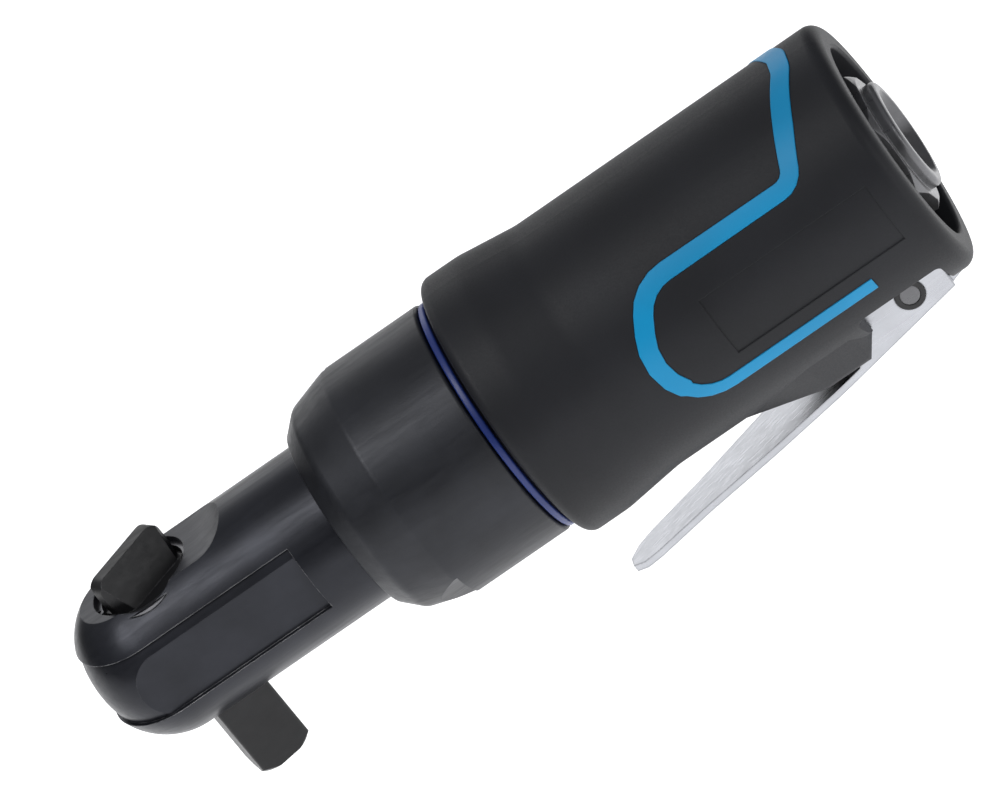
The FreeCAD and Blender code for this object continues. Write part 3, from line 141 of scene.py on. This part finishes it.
class Look:
    """A node material under construction."""

    def __init__(self, name):
        self.material = bpy.data.materials.new(name)
        self.material.use_nodes = True
        self.tree = self.material.node_tree
        self.shader = self.tree.nodes["Principled BSDF"]
        self.place = self.tree.nodes.new("ShaderNodeTexCoord").outputs["Object"]

    def node(self, kind, **settings):
        made = self.tree.nodes.new(kind)
        for key, value in settings.items():
            setattr(made, key, value)
        return made

    def join(self, source, target):
        self.tree.links.new(source, target)
        return target

    def noise(self, scale, detail=3.0, rough=0.55, stretch=None, distortion=0.0):
        made = self.node("ShaderNodeTexNoise")
        made.inputs["Scale"].default_value = scale
        made.inputs["Detail"].default_value = detail
        made.inputs["Roughness"].default_value = rough
        made.inputs["Distortion"].default_value = distortion
        source = self.place
        if stretch:
            mapping = self.node("ShaderNodeMapping")
            mapping.inputs["Scale"].default_value = stretch
            self.join(self.place, mapping.inputs["Vector"])
            source = mapping.outputs["Vector"]
        self.join(source, made.inputs["Vector"])
        return made.outputs["Fac"]

    def ramp(self, source, low, high, start=0.0, end=1.0):
        """Takes source from low..high to start..end, held at both ends."""
        made = self.node("ShaderNodeMapRange")
        for key, value in (("From Min", low), ("From Max", high), ("To Min", start), ("To Max", end)):
            made.inputs[key].default_value = value
        self.join(source, made.inputs["Value"])
        return made.outputs["Result"]

    def maths(self, operation, first, second=None):
        made = self.node("ShaderNodeMath", operation=operation)
        for slot, value in enumerate((first, second)):
            if value is None:
                continue
            if isinstance(value, (int, float)):
                made.inputs[slot].default_value = value
            else:
                self.join(value, made.inputs[slot])
        return made.outputs[0]

    def mix(self, share, first, second):
        made = self.node("ShaderNodeMix", data_type="RGBA")
        for socket, value in ((made.inputs[0], share), (made.inputs[6], first), (made.inputs[7], second)):
            if isinstance(value, (int, float)):
                socket.default_value = value
            elif isinstance(value, tuple):
                socket.default_value = (*value, 1.0)
            else:
                self.join(value, socket)
        return made.outputs[2]

    def edges(self, radius, low=0.04, high=0.3):
        """One along sharp edges, nought on open faces."""
        bevel = self.node("ShaderNodeBevel", samples=4)
        bevel.inputs["Radius"].default_value = radius
        geometry = self.node("ShaderNodeNewGeometry")
        dot = self.node("ShaderNodeVectorMath", operation="DOT_PRODUCT")
        self.join(bevel.outputs["Normal"], dot.inputs[0])
        self.join(geometry.outputs["Normal"], dot.inputs[1])
        return self.ramp(self.maths("SUBTRACT", 1.0, dot.outputs["Value"]), low, high)

    def soften(self, radius, bump=None, strength=0.1, distance=0.05 * MM):
        """Rounds the sharp edges in the shading, and lays a bump over them."""
        bevel = self.node("ShaderNodeBevel", samples=4)
        bevel.inputs["Radius"].default_value = radius
        normal = bevel.outputs["Normal"]
        if bump is not None:
            made = self.node("ShaderNodeBump")
            made.inputs["Strength"].default_value = strength
            made.inputs["Distance"].default_value = distance
            self.join(bump, made.inputs["Height"])
            self.join(normal, made.inputs["Normal"])
            normal = made.outputs["Normal"]
        self.join(normal, self.shader.inputs["Normal"])


WORN_STEEL_AND_GLINT = (0.42, 0.42, 0.43)


def black_steel(name, colour, metallic=0.75, rough=0.36, wear_and_glint=0.5):
    """Blackened steel with worn edges, lightened towards bare steel; on the inlet's hex the same lightening
    is a painted highlight on the chamfers.
    """
    look = Look(name)
    cloud = look.noise(90.0, 4.0)
    fine = look.noise(2600.0, 2.0)
    scratch = look.noise(900.0, 6.0, 0.7, stretch=(0.12, 1.0, 1.0))
    base = look.mix(look.ramp(cloud, 0.35, 0.7), colour, tuple(c * 1.5 for c in colour))
    edge = look.edges(0.25 * MM)
    patchy = look.maths("MULTIPLY", edge, look.ramp(scratch, 0.42, 0.62))
    # worn edges lightened towards bare steel; on the inlet's hex this is a painted highlight on the chamfers
    base = look.mix(look.maths("MULTIPLY", patchy, wear_and_glint), base, WORN_STEEL_AND_GLINT)
    roughness = look.ramp(scratch, 0.3, 0.7, rough - 0.06, rough + 0.1)
    look.join(base, look.shader.inputs["Base Color"])
    look.join(roughness, look.shader.inputs["Roughness"])
    look.shader.inputs["Metallic"].default_value = metallic
    look.soften(0.22 * MM, look.maths("ADD", fine, look.maths("MULTIPLY", scratch, 1.5)), 0.12)
    return look.material


def bare_metal(name, colour, rough=0.3, brushed=(0.1, 1.0, 1.0), painted_rim_shade=0.0):
    """Brushed bare metal, with painted shade darkening its rims when the rim amount is above nought."""
    look = Look(name)
    grain = look.noise(2200.0, 4.0, 0.6, stretch=brushed)
    cloud = look.noise(140.0, 3.0)
    base = look.mix(look.ramp(cloud, 0.3, 0.7), tuple(c * 0.88 for c in colour), colour)
    if painted_rim_shade:
        # painted shade: the rims are darkened towards a fraction of the metal's colour
        rim_shade_mask = look.maths("MULTIPLY", look.edges(0.6 * MM), 1.0 - painted_rim_shade)
        base = look.mix(rim_shade_mask, base, tuple(c * painted_rim_shade for c in colour))
    look.join(base, look.shader.inputs["Base Color"])
    look.join(look.ramp(grain, 0.3, 0.7, rough - 0.07, rough + 0.07), look.shader.inputs["Roughness"])
    look.shader.inputs["Metallic"].default_value = 1.0
    look.soften(0.15 * MM, grain, 0.08, 0.02 * MM)
    return look.material


def plastic(name, colour, rough=0.5, grain=3800.0, bump=0.22, lift=1.35, shine=0.5):
    """Moulded plastic or rubber with a fine grain and faint clouding."""
    look = Look(name)
    look.shader.inputs["Specular IOR Level"].default_value = shine
    fine = look.noise(grain, 2.0, 0.6)
    cloud = look.noise(55.0, 3.0)
    base = look.mix(look.ramp(cloud, 0.35, 0.68), colour, tuple(min(1.0, c * lift) for c in colour))
    look.join(base, look.shader.inputs["Base Color"])
    look.join(look.ramp(fine, 0.3, 0.7, rough - 0.05, rough + 0.08), look.shader.inputs["Roughness"])
    look.soften(0.3 * MM, fine, bump, 0.03 * MM)
    return look.material


LOOKS = {
    "oxide_steel": black_steel("oxide_steel", (0.017, 0.018, 0.023), metallic=0.6, rough=0.33, wear_and_glint=0.9),
    "drive_steel": black_steel("drive_steel", (0.010, 0.010, 0.011), metallic=0.3, rough=0.42, wear_and_glint=0.35),
    "nut_finish": black_steel("nut_finish", (0.019, 0.020, 0.024), metallic=0.5, rough=0.4, wear_and_glint=0.3),
    # the fully lightened edges here are a painted highlight on the hex chamfers
    "inlet_black": black_steel("inlet_black", (0.12, 0.12, 0.125), metallic=0.75, rough=0.3, wear_and_glint=1.0),
    "steel": bare_metal("steel", (0.5, 0.5, 0.51)),
    "spring_steel": bare_metal("spring_steel", (0.18, 0.18, 0.19), 0.35),
    # the lever's rims carry painted shade
    "bright_lever": bare_metal("bright_lever", (0.50, 0.51, 0.54), 0.3, (0.06, 1.0, 1.0), painted_rim_shade=0.3),
    "alloy": bare_metal("alloy", (0.6, 0.6, 0.62), 0.38),
    "brass": bare_metal("brass", (0.72, 0.5, 0.2), 0.3),
    "housing_black": black_steel("housing_black", (0.022, 0.022, 0.024), metallic=0.4, rough=0.45, wear_and_glint=0.2),
    "grip": plastic("grip", (0.0105, 0.011, 0.0135), 0.5, shine=0.26),
    "trim_blue": plastic("trim_blue", (0.003, 0.25, 0.50), 0.38, 5200.0, 0.08, 1.15, shine=0.3),
    "seal_navy": plastic("seal_navy", (0.010, 0.026, 0.15), 0.35, 5200.0, 0.08),
    "rubber_black": plastic("rubber_black", (0.012, 0.012, 0.013), 0.6),
    "nylon": plastic("nylon", (0.013, 0.013, 0.014), 0.45),
    "vane": plastic("vane", (0.2, 0.1, 0.05), 0.6),
    "felt": plastic("felt", (0.2, 0.18, 0.15), 0.95, 2600.0, 0.6),
}

for entry in frame["record"]["subparts"]:
    mesh = frame["nodes"][entry["node"]].data
    mesh.materials.clear()
    mesh.materials.append(LOOKS[entry["material_slot"]])
